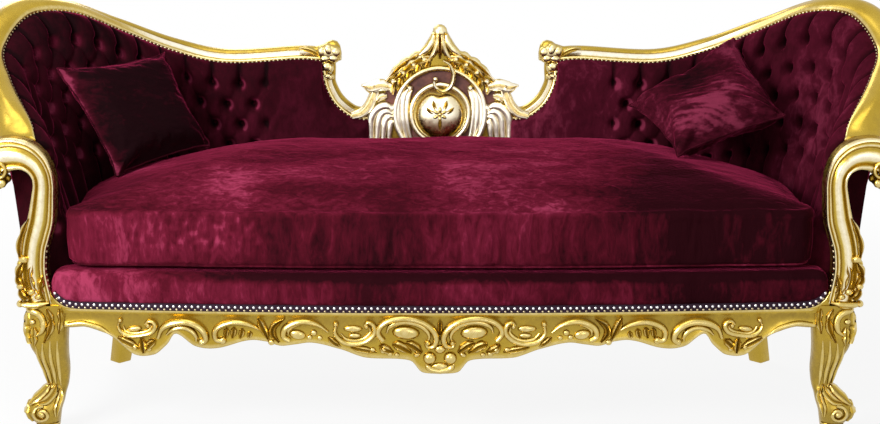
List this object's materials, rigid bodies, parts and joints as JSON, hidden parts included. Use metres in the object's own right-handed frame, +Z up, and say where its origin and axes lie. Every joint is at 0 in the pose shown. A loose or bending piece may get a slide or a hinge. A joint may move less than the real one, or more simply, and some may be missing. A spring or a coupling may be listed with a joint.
{
  "type": "settee",
  "caption": "Carved and gilded baroque settee with high rounded ears, a dipped back with a carved centre panel, buttoned velvet padding, a loose seat cushion and throw pillows.",
  "frame": {"origin": "on the floor under the middle of the settee's box", "axes": "+X to the sitter's left hand as seen from the front on the right, along the settee's length; +Y from the front to the back; +Z up"},
  "size_m": [2.2806, 0.8269, 0.9892],
  "materials": {
    "gold": "carved wood with burnished gold leaf",
    "beech": "plain sawn",
    "velvet": "crushed velvet over foam",
    "hessian": "woven",
    "web": "woven jute",
    "cambric": "matt woven",
    "nickel": "plated"
  },
  "bodies": {
    "frame": {"front_leg_left": "gold", "front_leg_right": "gold", "rear_leg_left": "gold", "rear_leg_right": "gold", "arm_post_left": "gold", "arm_post_right": "gold", "front_rail": "gold", "top_rail_left": "gold", "top_rail_right": "gold", "wing_rail_left": "gold", "wing_rail_right": "gold", "dip_rail_left": "gold", "dip_rail_right": "gold", "centre_panel": "gold", "side_rail_left": "beech", "side_rail_right": "beech", "rear_rail": "beech", "corner_block_front_left": "beech", "corner_block_front_right": "beech", "corner_block_rear_left": "beech", "corner_block_rear_right": "beech", "seat_brace_left": "beech", "seat_brace_right": "beech", "back_lower_rail_left": "beech", "back_lower_rail_right": "beech", "wing_lower_rail_left": "beech", "wing_lower_rail_right": "beech", "inner_stile_left": "beech", "inner_stile_right": "beech", "corner_stile_left": "beech", "corner_stile_right": "beech", "wing_stile_left": "beech", "wing_stile_right": "beech", "back_hessian_left": "hessian", "back_hessian_right": "hessian", "wing_hessian_left": "hessian", "wing_hessian_right": "hessian", "back_pad_left": "velvet", "back_pad_right": "velvet", "wing_pad_left": "velvet", "wing_pad_right": "velvet", "outer_back_cover_left": "velvet", "outer_back_cover_right": "velvet", "outer_wing_cover_left": "velvet", "outer_wing_cover_right": "velvet", "seat_webbing": "web", "dust_cover": "cambric", "seat_deck": "velvet", "nail_band_front": "nickel"},
    "seat_cushion": {"seat_cushion": "velvet"},
    "pillow_left": {"pillow_left": "velvet"},
    "pillow_right": {"pillow_right": "velvet"}
  },
  "joints": [
    {"name": "cushion_lift", "type": "slide", "parent": "frame", "child": "seat_cushion", "axis": [0, 0, 1], "range_m": [0, 0.6]},
    {"name": "pillow_left_lift", "type": "slide", "parent": "seat_cushion", "child": "pillow_left", "axis": [0, 0, 1], "range_m": [0, 0.4]},
    {"name": "pillow_right_lift", "type": "slide", "parent": "seat_cushion", "child": "pillow_right", "axis": [0, 0, 1], "range_m": [0, 0.4]}
  ]
}
